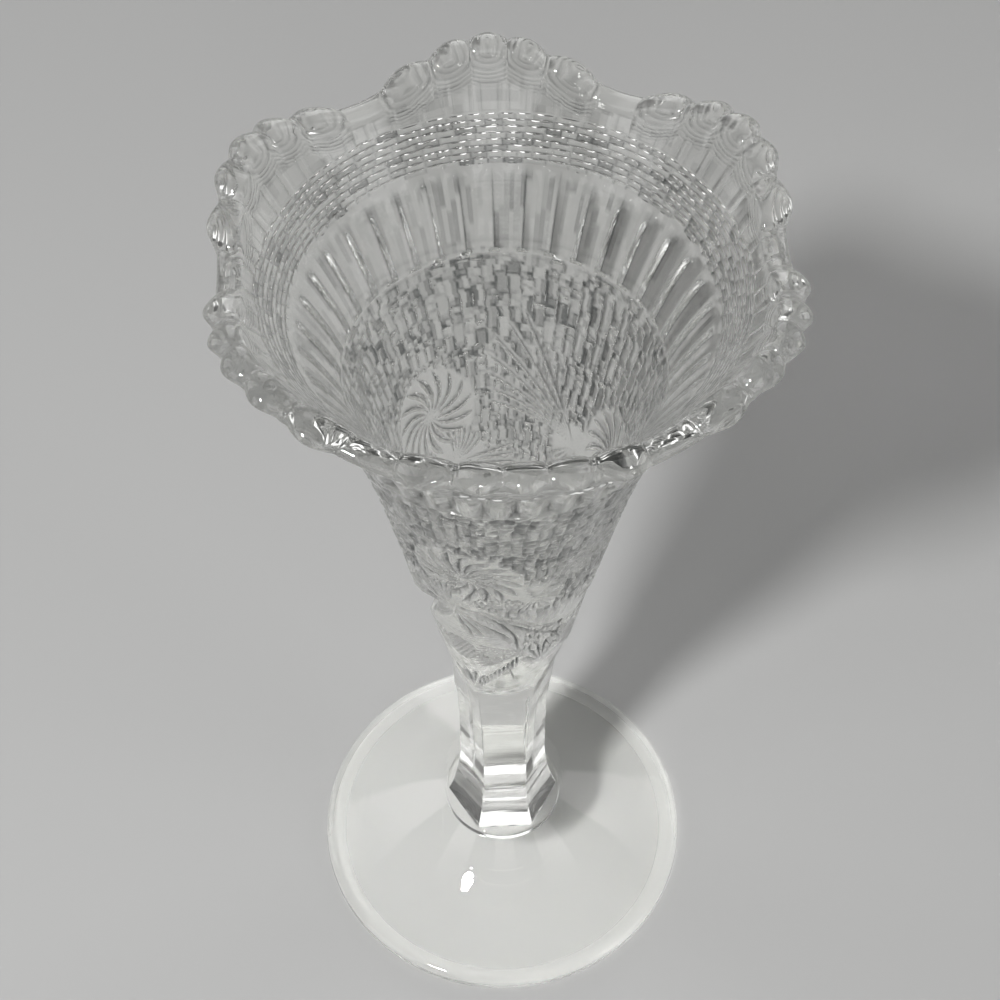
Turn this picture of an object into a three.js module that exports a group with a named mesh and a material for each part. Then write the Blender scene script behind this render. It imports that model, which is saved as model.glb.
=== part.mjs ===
// A pressed clear-glass bud vase. A hollow domed foot carries a thin round collar, a six-sided
// stem stands on the collar, and the stem carries a tall trumpet bowl. The bowl's rim has six
// lobes, each edged with five round beads, and its well runs down to just above the stem.
// Millimetres, +Z up, with the origin on the table under the middle of the foot.
import * as THREE from 'three';
import { mergeVertices } from 'three/addons/utils/BufferGeometryUtils.js';

// Foot: a round disc, hollow underneath, that rises to a flat seat for the collar.
const FOOT_RADIUS = 37.5;
const FOOT_HEIGHT = 16.0;          // table to the seat under the collar
const FOOT_EDGE_HEIGHT = 3.6;      // thickness of the round outer edge
const FOOT_EDGE_SLOPE = 0.33;      // rise for each millimetre inward, just inside the edge
const FOOT_RING_WIDTH = 2.6;       // flat ring that the vase stands on
const FOOT_HOLLOW_HEIGHT = 6.4;    // table to the crown of the hollow underside
const FOOT_SHOULDER_DROP = 6.8;    // how far below the seat the top levels out

// Collar: a thin disc between the foot and the stem.
const COLLAR_RADIUS = 11.75;
const COLLAR_THICKNESS = 2.0;
const COLLAR_EDGE_ROUND = 0.5;

// Stem: six flat sides that flare out to the collar. Radii are to the corners.
const STEM_LENGTH = 40.0;
const STEM_WAIST_RADIUS = 8.5;
const STEM_TOP_RADIUS = 9.0;
const STEM_FLARE_HEIGHT = 17.0;    // height of the flare above the collar
const STEM_SEAT_MARGIN = 0.05;     // the flare stops this far inside the collar's flat top

// Bowl: the trumpet. Heights are above its joint with the stem.
const BOWL_HEIGHT = 120.0;
const BOWL_RIM_RADIUS = 44.4;      // over the beads in the middle of the lobes
const BOWL_WALL = 3.3;
const BOWL_LOWER_SLOPE = 0.17;     // outward run for each millimetre of rise at the joint
const BOWL_RIM_SLOPE = 0.72;       // the same at the rim
const BOWL_LOWER_REACH = 86.0;     // how far up from the joint the lower slope pulls
const BOWL_RIM_REACH = 28.0;       // how far down from the rim the rim slope pulls
const BOWL_WELL_FLOOR = 8.0;       // thickness of glass between the stem and the well
const BOWL_WELL_ROUND = 7.0;       // height over which the well's end is rounded
const BOWL_SIDES_KEPT = 6.0;       // the six sides run on unchanged this far above the joint
const BOWL_SIDES_FADE = 14.0;      // and fade into the round over this height

// Rim: lobes and beads.
const LOBES = 6;
const LOBE_DEPTH = 4.2;            // fall of the edge from a lobe to the saddle beside it
const LOBE_INSET = 2.8;            // how far in the edge comes there
const LOBE_SHOULDER = 28.0;        // depth below the rim at which the lobes have faded out
const BEAD_ANGLES = [-18.9, -8.2, 0, 8.2, 18.9];        // degrees from the middle of a lobe
const BEAD_HALF_WIDTHS = [5.4, 4.1, 4.1, 4.1, 5.4];     // degrees
const BEAD_BULGES = [1.4, 1.1, 1.1, 1.1, 1.4];          // how far each stands out of the edge
const BEAD_RISE = 0.8;             // how far a bead stands up from the edge
const BEAD_DEPTH = 7.0;            // how far below the rim a bead fades out

// Facets.
const FOOT_SIDES = 72;
const COLLAR_SIDES = 48;
const STEM_SIDES = 6;
const BOWL_SIDES = 180;
const BOWL_OUTER_ROWS = 10;
const BOWL_INNER_ROWS = 6;
const OUTER_CROWDING = 1.6;        // above 1, rows lie closer together towards the rim
const INNER_CROWDING = 0.77;       // below 1, rows lie closer together towards the well
const SWEEP_STEPS = 7;             // along a long curve of an outline
const EDGE_STEPS = 6;              // round a half circle
const ROUND_STEPS = 3;             // round a quarter circle

const COLLAR_TOP = FOOT_HEIGHT + COLLAR_THICKNESS;
const STEM_TOP = COLLAR_TOP + STEM_LENGTH;
const COLLAR_FLAT_RADIUS = COLLAR_RADIUS - COLLAR_EDGE_ROUND;
const STEM_BASE_RADIUS = COLLAR_FLAT_RADIUS - STEM_SEAT_MARGIN;
const BOWL_EDGE_HEIGHT = BOWL_HEIGHT - BEAD_RISE - BOWL_WALL / 2;
const WELL_TOP = BOWL_WELL_FLOOR + BOWL_WELL_ROUND;
const SIXTH = 2 * Math.PI / LOBES;
const LOBE_START = Math.PI / 2;    // one lobe points along +Y
const MIDDLE_BEAD = BEAD_ANGLES.indexOf(0);
const LOBE_RADIUS = BOWL_RIM_RADIUS - BEAD_BULGES[MIDDLE_BEAD];    // edge without its bead
const PULL = 1 / 3;                // the share of a span that an even curve's pull points take

const clearGlass = (name, tint) => new THREE.MeshStandardMaterial({
  name, color: new THREE.Color(...tint), roughness: 0.04, metalness: 0,
  transparent: true, opacity: 0.35,
});

const radians = THREE.MathUtils.degToRad;
const smooth = (value) => THREE.MathUtils.smoothstep(value, 0, 1);
const corner = (radius, height) => new THREE.Vector2(radius, height);

// Points along a cubic curve, without its first point.
function sweep(start, startPull, endPull, end) {
  const curve = new THREE.CubicBezierCurve(start, startPull, endPull, end);
  return curve.getPoints(SWEEP_STEPS).slice(1);
}

// Points round part of an ellipse, from one angle to another in degrees, both ends included.
function arc(centre, halfWidth, halfHeight, fromAngle, toAngle, steps) {
  const ellipse = new THREE.EllipseCurve(centre.x, centre.y, halfWidth, halfHeight,
    radians(fromAngle), radians(toAngle), toAngle < fromAngle);
  return ellipse.getPoints(steps);
}

// A closed body turned about +Z, with its repeated seam and pole points merged.
function turned(profile, sides) {
  const lathe = new THREE.LatheGeometry(profile, sides, Math.PI / 2);
  lathe.rotateX(Math.PI / 2);
  lathe.deleteAttribute('uv');
  lathe.deleteAttribute('normal');
  return mergeVertices(lathe);
}

function part(name, geometry, tint, height) {
  const mesh = new THREE.Mesh(geometry, clearGlass(`${name}_glass`, tint));
  mesh.name = name;
  mesh.position.z = height;
  geometry.computeVertexNormals();
  return mesh;
}

// Out along the hollow, across the flat ring, round the edge, and in over the top to the seat.
function footProfile() {
  const half = FOOT_EDGE_HEIGHT / 2;
  const ringOuter = FOOT_RADIUS - half;
  const ringInner = ringOuter - FOOT_RING_WIDTH;
  const crown = corner(0, FOOT_HOLLOW_HEIGHT);
  const crownPull = corner(ringInner * PULL, FOOT_HOLLOW_HEIGHT);
  const ringPull = corner(ringInner * (1 - PULL / 2), FOOT_HOLLOW_HEIGHT * PULL);
  const edgeTop = corner(ringOuter, FOOT_EDGE_HEIGHT);
  const seat = corner(COLLAR_FLAT_RADIUS, FOOT_HEIGHT);
  const pullRun = (edgeTop.x - seat.x) * PULL;
  const edgePull = corner(edgeTop.x - pullRun, edgeTop.y + pullRun * FOOT_EDGE_SLOPE);
  const seatPull = corner(seat.x + pullRun, FOOT_HEIGHT - FOOT_SHOULDER_DROP);
  return [
    crown,
    ...sweep(crown, crownPull, ringPull, corner(ringInner, 0)),
    ...arc(corner(ringOuter, half), half, half, -90, 90, EDGE_STEPS),
    ...sweep(edgeTop, edgePull, seatPull, seat),
    corner(0, FOOT_HEIGHT),
  ];
}

function collarProfile() {
  const round = COLLAR_EDGE_ROUND;
  return [
    corner(0, 0),
    ...arc(corner(COLLAR_FLAT_RADIUS, round), round, round, -90, 0, ROUND_STEPS),
    ...arc(corner(COLLAR_FLAT_RADIUS, COLLAR_THICKNESS - round), round, round, 0, 90,
      ROUND_STEPS),
    corner(0, COLLAR_THICKNESS),
  ];
}

// The corners of the six sides: a flare that leaves the collar at a low angle and rises to the
// waist, then a slow widening that meets the bowl at the bowl's own slope.
function stemProfile() {
  const base = corner(STEM_BASE_RADIUS, 0);
  const waist = corner(STEM_WAIST_RADIUS, STEM_FLARE_HEIGHT);
  const top = corner(STEM_TOP_RADIUS, STEM_LENGTH);
  const middle = (base.x + waist.x) / 2;
  const rise = (top.y - waist.y) * PULL;
  return [
    corner(0, 0),
    base,
    ...sweep(base, corner(middle, waist.y * PULL / 2), corner(waist.x, waist.y * (1 - PULL)),
      waist),
    ...sweep(waist, corner(waist.x, waist.y + rise),
      corner(top.x - rise * BOWL_LOWER_SLOPE / 2, top.y - rise), top),
    corner(0, STEM_LENGTH),
  ];
}

// The bowl's outer outline through the middle of a lobe, over the corners of the six sides.
const outerCurve = new THREE.CubicBezierCurve(
  corner(STEM_TOP_RADIUS, 0),
  corner(STEM_TOP_RADIUS + BOWL_LOWER_SLOPE * BOWL_LOWER_REACH, BOWL_LOWER_REACH),
  corner(LOBE_RADIUS - BOWL_RIM_SLOPE * BOWL_RIM_REACH, BOWL_EDGE_HEIGHT - BOWL_RIM_REACH),
  corner(LOBE_RADIUS, BOWL_EDGE_HEIGHT),
);

// The outer radius at a height. The height grows steadily along the curve, so halving finds
// it. Above the curve's end the outline runs on at the rim's slope.
function outerRadius(height) {
  if (height > BOWL_EDGE_HEIGHT) {
    return LOBE_RADIUS + (height - BOWL_EDGE_HEIGHT) * BOWL_RIM_SLOPE;
  }
  let low = 0;
  let high = 1;
  while (high - low > 1e-12) {
    const middle = (low + high) / 2;
    if (outerCurve.getPoint(middle).y < height) low = middle;
    else high = middle;
  }
  return outerCurve.getPoint(high).x;
}

// The inner radius leaves the wall its thickness, measured square to the leaning outline.
function innerRadius(height) {
  const slope = outerRadius(height + 0.5) - outerRadius(height - 0.5);
  return outerRadius(height) - BOWL_WALL * Math.hypot(1, slope);
}

// Out over the joint, up the outside, over the round rim, down the inside and into the well.
// The rows lie closer together near the rim, where the lobes and beads are.
function bowlProfile() {
  const profile = [corner(0, 0)];
  for (let i = 0; i <= BOWL_OUTER_ROWS; i += 1) {
    const height = BOWL_EDGE_HEIGHT * (1 - (1 - i / BOWL_OUTER_ROWS) ** OUTER_CROWDING);
    profile.push(corner(outerRadius(height), height));
  }
  const outer = outerRadius(BOWL_EDGE_HEIGHT);
  const inner = innerRadius(BOWL_EDGE_HEIGHT);
  const rimCentre = corner((outer + inner) / 2, BOWL_EDGE_HEIGHT);
  const crest = arc(rimCentre, (outer - inner) / 2, BOWL_WALL / 2, 0, 180, EDGE_STEPS);
  profile.push(...crest.slice(1, -1));
  for (let i = 0; i <= BOWL_INNER_ROWS; i += 1) {
    const rise = (BOWL_EDGE_HEIGHT - WELL_TOP) * (1 - i / BOWL_INNER_ROWS) ** (1 / INNER_CROWDING);
    profile.push(corner(innerRadius(WELL_TOP + rise), WELL_TOP + rise));
  }
  const well = arc(corner(0, WELL_TOP), innerRadius(WELL_TOP), BOWL_WELL_ROUND, 0, -90,
    ROUND_STEPS);
  profile.push(...well.slice(1, -1), corner(0, BOWL_WELL_FLOOR));
  return profile;
}

// 0 in the middle of a lobe, 1 in the saddle between two lobes.
const saddle = (azimuth) => (1 - Math.cos(LOBES * (azimuth - LOBE_START))) / 2;

// How far across its bead each azimuth is, as the height of a half circle: 1 on the crown and
// 0 at both ends. The saddles between lobes lie on no bead and get 0.
function beadCrown(azimuth, index) {
  const turns = (azimuth - LOBE_START) / SIXTH;
  const angle = THREE.MathUtils.radToDeg((turns - Math.round(turns)) * SIXTH);
  const across = (angle - BEAD_ANGLES[index]) / BEAD_HALF_WIDTHS[index];
  return Math.sqrt(Math.max(0, 1 - across * across));
}

// How far in a six-sided prism lies, as a share of the circle through its corners.
function hexagonShare(azimuth) {
  const wrapped = THREE.MathUtils.euclideanModulo(azimuth, SIXTH);
  return Math.cos(SIXTH / 2) / Math.cos(wrapped - SIXTH / 2);
}

// Moves one point of the round trumpet to the lobed, beaded and six-sided one. The inside
// follows the lobes, and only the outside and the rim's crest carry the beads.
function shapeBowlPoint(point) {
  const azimuth = Math.atan2(point.y, point.x);
  const radius = Math.hypot(point.x, point.y);
  const height = point.z;
  const outside = THREE.MathUtils.clamp(1 - (outerRadius(height) - radius) / BOWL_WALL, 0, 1);
  const nearRim = Math.max(0, 1 - (BOWL_EDGE_HEIGHT - height) / LOBE_SHOULDER);
  const lobe = saddle(azimuth) * nearRim;
  const onBeads = smooth(1 - (BOWL_EDGE_HEIGHT - height) / BEAD_DEPTH);
  const crowns = BEAD_ANGLES.map((centre, i) => beadCrown(azimuth, i));
  const bulge = Math.max(...crowns.map((crown, i) => crown * BEAD_BULGES[i]));
  const lift = Math.max(...crowns) * BEAD_RISE;
  const fade = smooth(1 - (height - BOWL_SIDES_KEPT) / BOWL_SIDES_FADE);
  const share = 1 - fade * outside * (1 - hexagonShare(azimuth));
  const reach = (radius - LOBE_INSET * lobe) * share + bulge * onBeads * outside;
  const raised = height - LOBE_DEPTH * lobe + lift * onBeads;
  point.set(reach * Math.cos(azimuth), reach * Math.sin(azimuth), raised);
}

// The points on the axis stay where the profile put them, and so does the flat joint's height.
function bowlGeometry() {
  const geometry = turned(bowlProfile(), BOWL_SIDES);
  const positions = geometry.getAttribute('position');
  const point = new THREE.Vector3();
  for (let i = 0; i < positions.count; i += 1) {
    point.fromBufferAttribute(positions, i);
    const offAxis = Math.hypot(point.x, point.y) > 1e-6;
    if (offAxis) shapeBowlPoint(point);
    positions.setXYZ(i, point.x, point.y, point.z);
  }
  return geometry;
}

const vase = new THREE.Group();
vase.name = 'bud_vase';
vase.add(
  part('foot', turned(footProfile(), FOOT_SIDES), [0.90, 0.92, 0.91], 0),
  part('collar', turned(collarProfile(), COLLAR_SIDES), [0.88, 0.90, 0.90], FOOT_HEIGHT),
  part('stem', turned(stemProfile(), STEM_SIDES), [0.89, 0.91, 0.91], COLLAR_TOP),
  part('bowl', bowlGeometry(), [0.91, 0.92, 0.92], STEM_TOP),
);

export default vase;
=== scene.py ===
# %% [markdown]
# # A pressed glass bud vase
#
# The real vase is clear glass, pressed hot into an iron mould. It has a round hollow foot, a thin
# collar, a six-sided stem and a tall trumpet bowl with a beaded, lobed rim. The inside is smooth,
# because a plain plunger shapes it, and all the ornament is on the outside. The lesson starts from
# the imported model, which gives the sizes, and makes one fine surface for each of its pieces.

# %% Load the frame
import math

import bpy
import numpy as np
from mathutils import Matrix, Vector


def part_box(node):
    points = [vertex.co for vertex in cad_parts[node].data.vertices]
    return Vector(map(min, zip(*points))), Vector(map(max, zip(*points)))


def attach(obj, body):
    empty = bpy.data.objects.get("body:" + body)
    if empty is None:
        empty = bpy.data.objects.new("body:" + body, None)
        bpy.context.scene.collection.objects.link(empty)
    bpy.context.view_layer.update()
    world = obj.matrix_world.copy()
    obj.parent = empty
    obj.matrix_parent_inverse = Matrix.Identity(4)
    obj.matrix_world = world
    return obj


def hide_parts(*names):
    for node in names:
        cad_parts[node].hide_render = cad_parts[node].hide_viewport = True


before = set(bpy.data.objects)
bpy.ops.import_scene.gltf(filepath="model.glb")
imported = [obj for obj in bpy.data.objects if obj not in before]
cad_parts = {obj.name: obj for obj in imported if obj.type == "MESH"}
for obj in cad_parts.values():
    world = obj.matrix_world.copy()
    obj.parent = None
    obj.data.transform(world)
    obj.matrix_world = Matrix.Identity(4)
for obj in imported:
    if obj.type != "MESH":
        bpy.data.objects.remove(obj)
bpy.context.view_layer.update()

MM = 0.001
TURN = 2 * math.pi

# %% [markdown]
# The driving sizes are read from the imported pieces, so that each new surface starts and ends
# where its solid does. Typing them in again would work too, until one of them changed.

# %% Take the main sizes from the frame
FOOT_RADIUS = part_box("foot")[1].x
FOOT_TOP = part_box("foot")[1].z
COLLAR_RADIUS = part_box("collar")[1].x
COLLAR_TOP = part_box("collar")[1].z
STEM_BASE_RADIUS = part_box("stem")[1].x
BOWL_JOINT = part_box("bowl")[0].z
RIM_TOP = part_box("bowl")[1].z
RIM_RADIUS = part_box("bowl")[1].y
print(f"foot {FOOT_RADIUS:.4f} m, joint of the bowl at {BOWL_JOINT:.4f} m, top {RIM_TOP:.4f} m")

# %% [markdown]
# Two curves shape everything here. A cubic curve draws the long outlines, as a draughtsman would
# with four points. An S-shaped step joins one form to the next without a crease.

# %% Curves and steps


def bezier(corners, count):
    """Points along a cubic curve: with t running from 0 to 1, the four corners are weighted by
    (1 - t) cubed, 3 t (1 - t) squared, 3 t squared (1 - t), and t cubed."""
    t = np.linspace(0, 1, count)[:, None]
    a, b, c, d = np.array(corners, float)
    return (1 - t) ** 3 * a + 3 * t * (1 - t) ** 2 * b + 3 * t**2 * (1 - t) * c + t**3 * d


def smooth(share):
    """3 s squared less 2 s cubed, with s held between 0 and 1: level at both ends."""
    share = np.clip(share, 0, 1)
    return share * share * (3 - 2 * share)


def half_circle(centre, half_width, half_height, start, end, count):
    """Points round an ellipse from one angle to another, in degrees: cosine across, sine up."""
    angle = np.radians(np.linspace(start, end, count))
    return np.stack([centre[0] + half_width * np.cos(angle),
                     centre[1] + half_height * np.sin(angle)], axis=1)


# %% [markdown]
# Glass pieces that are fused have no surface between them, but each is its own closed body here.
# Where two touch, both faces get a material that is fully clear, so light passes as it does
# through one piece of glass. Leaving the faces out would leave the bodies open.
#
# A body is a grid: one row for each ring of points, one column for each direction round the axis.
# A body on the axis is closed by a point at each end, and a hoop closes on itself.

# %% Turn whole arrays of radius and height into a closed body


def grid_faces(rows, columns, closes):
    """Corner numbers of the four-sided faces between neighbouring rings, counted row by row. Where
    closes is true the last ring joins the first."""
    last = rows if closes else rows - 1
    row = np.arange(last)[:, None]
    column = np.arange(columns)[None, :]
    across = (column + 1) % columns
    above = (row + 1) % rows
    corners = [row * columns + column, row * columns + across,
               above * columns + across, above * columns + column]
    return np.stack(corners, axis=-1).reshape(-1, 4)


def pole_faces(ring, pole, outward):
    """Triangles from a pole to one ring. outward turns them over."""
    following = np.roll(ring, -1)
    poles = np.full_like(ring, pole)
    order = [poles, following, ring] if outward else [poles, ring, following]
    return np.stack(order, axis=-1)


def add_object(name, data):
    """Puts a mesh, a lamp or a camera into the scene under a name."""
    item = bpy.data.objects.new(name, data)
    bpy.context.scene.collection.objects.link(item)
    return item


def glass_body(name, azimuth, radius, height, joint_rows, poles=None, painted_shade=None):
    """A closed body. Row r, column c lies at radius[r, c] in the direction azimuth[c], at
    height[r, c]. Rows run out over the underside, up the outside, and in over the top. The faces
    that start at a row in joint_rows get the joint's material, with -1 for the first pole's.
    The last argument gives a share of painted shade for each row and column, for the material to
    read."""
    rows, columns = radius.shape
    points = np.stack([radius * np.cos(azimuth), radius * np.sin(azimuth), height], axis=-1)
    points = points.reshape(-1, 3)
    quads = grid_faces(rows, columns, closes=poles is None)
    slots = np.isin(quads[:, 0] // columns, joint_rows).astype(int)
    faces = quads.tolist()
    if poles is not None:
        ring = np.arange(columns)
        first, last = rows * columns, rows * columns + 1
        points = np.vstack([points, [[0, 0, poles[0]], [0, 0, poles[1]]]])
        faces += pole_faces(ring, first, outward=True).tolist()
        faces += pole_faces(ring + (rows - 1) * columns, last, outward=False).tolist()
        slots = np.concatenate([slots, np.full(columns, int(-1 in joint_rows)),
                                np.full(columns, int(rows - 1 in joint_rows))])
    mesh = bpy.data.meshes.new(name)
    mesh.from_pydata(points.tolist(), [], faces)
    mesh.materials.append(clear_glass)
    mesh.materials.append(fused_joint)
    # The painted shade goes to the material as a point attribute.
    if painted_shade is not None:
        shares = np.full(len(points), painted_shade[0, 0], np.float32)
        shares[:rows * columns] = painted_shade.ravel()
        mesh.attributes.new("painted_shade", "FLOAT", "POINT").data.foreach_set("value", shares)
    mesh.polygons.foreach_set("material_index", slots)
    mesh.polygons.foreach_set("use_smooth", np.ones(len(faces), bool))
    mesh.set_sharp_from_angle(angle=CREASE)
    mesh.update()
    print(f"{name}: {rows} rings of {columns} points, {sum(len(f) - 2 for f in faces)} triangles")
    return add_object(name, mesh)


def finish_piece(body, node):
    """The new surface rides on the vase's one body and stands for its solid."""
    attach(body, "root")
    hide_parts(node)


CREASE = math.radians(50)

# %% [markdown]
# Shader nodes read better as sums. A small class wraps a node's output, so that 0.02 * noise adds
# a Math node, and one method adds every other kind of node.

# %% Write shader maths as expressions


class Wire:
    """One output of a node in a material, which adds up and multiplies as a number does."""

    def __init__(self, tree, socket):
        self.tree = tree
        self.socket = socket

    def _maths(self, operation, first, second):
        return add_node(self.tree, "ShaderNodeMath", {"operation": operation},
                        {0: first, 1: second})

    def __add__(self, other):
        return self._maths("ADD", self, other)

    def __mul__(self, other):
        return self._maths("MULTIPLY", self, other)

    def __rsub__(self, other):
        return self._maths("SUBTRACT", other, self)

    __radd__ = __add__
    __rmul__ = __mul__


def add_node(tree, kind, settings, sockets, output=0):
    """Adds a node, sets its settings, and then links or sets its sockets. Returns one output."""
    node = tree.nodes.new(kind)
    for key, value in settings.items():
        setattr(node, key, value)
    for key, value in sockets.items():
        if isinstance(value, Wire):
            tree.links.new(value.socket, node.inputs[key])
        else:
            node.inputs[key].default_value = value
    return Wire(tree, node.outputs[output])


def new_material(name):
    material = bpy.data.materials.new(name)
    material.use_nodes = True
    material.node_tree.nodes.clear()
    return material


def end_material(material, surface):
    output = material.node_tree.nodes.new("ShaderNodeOutputMaterial")
    material.node_tree.links.new(surface.socket, output.inputs["Surface"])


def plain_material(name, sockets):
    """One shader, the same all over, with a few of its sockets set."""
    material = new_material(name)
    end_material(material, add_node(material.node_tree, "ShaderNodeBsdfPrincipled", {}, sockets))
    return material


# %% [markdown]
# ## Clear pressed glass
#
# Old pressed glass is nearly colourless, with a breath of warm grey. Its skin froze against cold
# iron, so it has long faint ripples, level draw lines and, up close, a fine orange-peel. Years of
# standing have rubbed the ring it rests on. One shader that bends and mirrors light does the
# glass, and three soft noises in a Bump node do the skin. Modelling ripples a few hundredths of a
# millimetre deep as geometry would take millions of faces.
#
# Over a pale floor nearly every bent ray ends on the same grey, so the cuts would hardly show. A
# point attribute, from 0 to 1 at each point, paints shade into the glass's colour: it darkens the
# narrow bottoms of the cuts, and gives small facets lighter and darker tones of their own. This
# painted shade stands in for the light and dark that a darker room would bend into the cuts.

# %% Make the glass
GLASS_IOR = 1.5
RIPPLE_SIZE = 9 * MM
RIPPLE_DEPTH = 0.1 * MM
PEEL_SIZE = 1.1 * MM
PEEL_SHARE = 0.03
DRAW_SIZE = 0.7 * MM
DRAW_STRETCH = 0.05
DRAW_SHARE = 0.2
SMUDGE_SIZE = 20 * MM
POLISHED_ROUGHNESS = 0.004
SMUDGE_ROUGHNESS = 0.03
WORN_HEIGHT = 0.12 * MM
WORN_ROUGHNESS = 0.35
CLEAN_TINT = (0.99, 0.992, 0.975, 1)
SMUDGED_TINT = (0.975, 0.98, 0.952, 1)
# Near black: the colour that the painted shade mixes the glass towards.
PAINTED_SHADE_COLOUR = (0.05, 0.055, 0.055, 1)


def noise(tree, place, size, detail):
    """Soft random values from 0 to 1 that change over about one size."""
    return add_node(tree, "ShaderNodeTexNoise", {}, {
        "Vector": place, "Scale": 1 / size, "Detail": detail, "Roughness": 0.5})


def mix_colours(tree, share, first, second):
    """The first colour where share is 0 and the second where it is 1."""
    return add_node(tree, "ShaderNodeMix", {"data_type": "RGBA"}, {
        0: share, 6: first, 7: second}, output=2)


def make_glass():
    material = new_material("clear_pressed_glass")
    tree = material.node_tree
    place = add_node(tree, "ShaderNodeTexCoord", {}, {}, output="Object")
    height = add_node(tree, "ShaderNodeSeparateXYZ", {}, {"Vector": place}, output="Z")
    stretched = add_node(tree, "ShaderNodeMapping", {}, {
        "Vector": place, "Scale": (DRAW_STRETCH, DRAW_STRETCH, 1)})
    skin = noise(tree, place, RIPPLE_SIZE, 0) + PEEL_SHARE * noise(tree, place, PEEL_SIZE, 1)
    skin = skin + DRAW_SHARE * noise(tree, stretched, DRAW_SIZE, 1)
    smudges = noise(tree, place, SMUDGE_SIZE, 2)
    worn = add_node(tree, "ShaderNodeMapRange", {"clamp": True}, {
        "Value": height, "From Min": WORN_HEIGHT, "From Max": 0.0})
    # Painted shade, read from the mesh, darkens the glass's own tint towards near black.
    painted_shade = add_node(tree, "ShaderNodeAttribute", {"attribute_name": "painted_shade"}, {}, output="Fac")
    clean = mix_colours(tree, smudges, CLEAN_TINT, SMUDGED_TINT)
    tint_and_painted_shade = mix_colours(tree, painted_shade, clean, PAINTED_SHADE_COLOUR)
    bump = add_node(tree, "ShaderNodeBump", {}, {
        "Height": skin, "Distance": RIPPLE_DEPTH, "Strength": 1.0})
    glass = add_node(tree, "ShaderNodeBsdfPrincipled", {}, {
        "Base Color": tint_and_painted_shade, "IOR": GLASS_IOR, "Transmission Weight": 1.0, "Normal": bump,
        "Roughness": POLISHED_ROUGHNESS + SMUDGE_ROUGHNESS * smudges * smudges
        + WORN_ROUGHNESS * worn})
    end_material(material, glass)
    return material


clear_glass = make_glass()
fused_joint = plain_material("fused_joint", {"Alpha": 0.0})
print(f"the glass has {len(clear_glass.node_tree.nodes)} nodes")

# %% [markdown]
# ## The foot
#
# The foot is a round disc, thick and rounded at its edge, that swells up to a flat seat for the
# collar. Underneath it is hollowed, so that it stands on a narrow ring. It is turned: one profile
# carried round the axis. The profile runs from the crown of the hollow out to the ring, round the
# edge and in over the top.
#
# Lamp light isn't carried through the glass, so the foot's shadow would be as dark as a solid
# disc's. The real foot is bright, so its shadow is turned off, and an even painted shade, a darker
# colour all over the foot, keeps it from looking whiter than the floor.

# %% Make the foot
FOOT_EDGE_HEIGHT = 3.6 * MM
FOOT_EDGE_SLOPE = 0.33
FOOT_RING_WIDTH = 2.6 * MM
FOOT_HOLLOW_HEIGHT = 6.4 * MM
FOOT_SHOULDER_DROP = 6.8 * MM
COLLAR_EDGE_ROUND = 0.5 * MM
FOOT_SHADE = 0.12
FOOT_COLUMNS = 240
SEAT_RADIUS = COLLAR_RADIUS - COLLAR_EDGE_ROUND


def foot_profile():
    half = FOOT_EDGE_HEIGHT / 2
    ring_outer = FOOT_RADIUS - half
    ring_inner = ring_outer - FOOT_RING_WIDTH
    span = (ring_outer - SEAT_RADIUS) / 3
    hollow = bezier([(0, FOOT_HOLLOW_HEIGHT), (ring_inner / 3, FOOT_HOLLOW_HEIGHT),
                     (ring_inner * 5 / 6, FOOT_HOLLOW_HEIGHT / 3), (ring_inner, 0)], count=40)
    edge = half_circle((ring_outer, half), half, half, -90, 90, count=25)
    top = bezier([(ring_outer, FOOT_EDGE_HEIGHT),
                  (ring_outer - span, FOOT_EDGE_HEIGHT + span * FOOT_EDGE_SLOPE),
                  (SEAT_RADIUS + span, FOOT_TOP - FOOT_SHOULDER_DROP),
                  (SEAT_RADIUS, FOOT_TOP)], count=48)
    return np.vstack([hollow[1:], edge, top[1:]])


def make_foot():
    azimuth = np.arange(FOOT_COLUMNS) * TURN / FOOT_COLUMNS
    profile = foot_profile()
    flat = np.ones(FOOT_COLUMNS)
    seat_row = len(profile) - 1
    # The same painted shade all over the foot.
    painted_shade = np.full((len(profile), FOOT_COLUMNS), FOOT_SHADE)
    return glass_body("foot_glass", azimuth, profile[:, :1] * flat, profile[:, 1:] * flat,
                      [seat_row], poles=(FOOT_HOLLOW_HEIGHT, FOOT_TOP), painted_shade=painted_shade)


foot_body = make_foot()
foot_body.visible_shadow = False
finish_piece(foot_body, "foot")

# %% [markdown]
# ## The six sides
#
# The stem is a six-sided prism whose corners are only slightly rounded. In a given direction, a
# flat side lies at its middle distance divided by the cosine of the angle from its middle. The
# corner is rounded by taking a high power mean of neighbouring sides instead of the nearest one.

# %% Shape six flat sides
SIDES = 6
CORNER_HARDNESS = 90


def hexagon_share(azimuth):
    """How far out six flat sides lie in each direction, as a share of their corner's distance:
    the sides' own shares, each to a high negative power, are added up and rooted again."""
    middles = (np.arange(SIDES) + 0.5) * TURN / SIDES
    facing = np.cos(azimuth[..., None] - middles)
    nearness = np.clip(facing, 0, None) ** CORNER_HARDNESS
    return math.cos(math.pi / SIDES) / nearness.sum(axis=-1) ** (1 / CORNER_HARDNESS)


# %% [markdown]
# ## The collar
#
# A thin round disc between the foot and the stem, with a rounded edge that catches a bright line.
# Its underside is fused to the foot all over. On top only the six-sided patch under the stem is
# fused, so the rings there run from a point through that outline to the round edge.

# %% Make the collar
COLLAR_COLUMNS = 360
COLLAR_RINGS = 8


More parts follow.
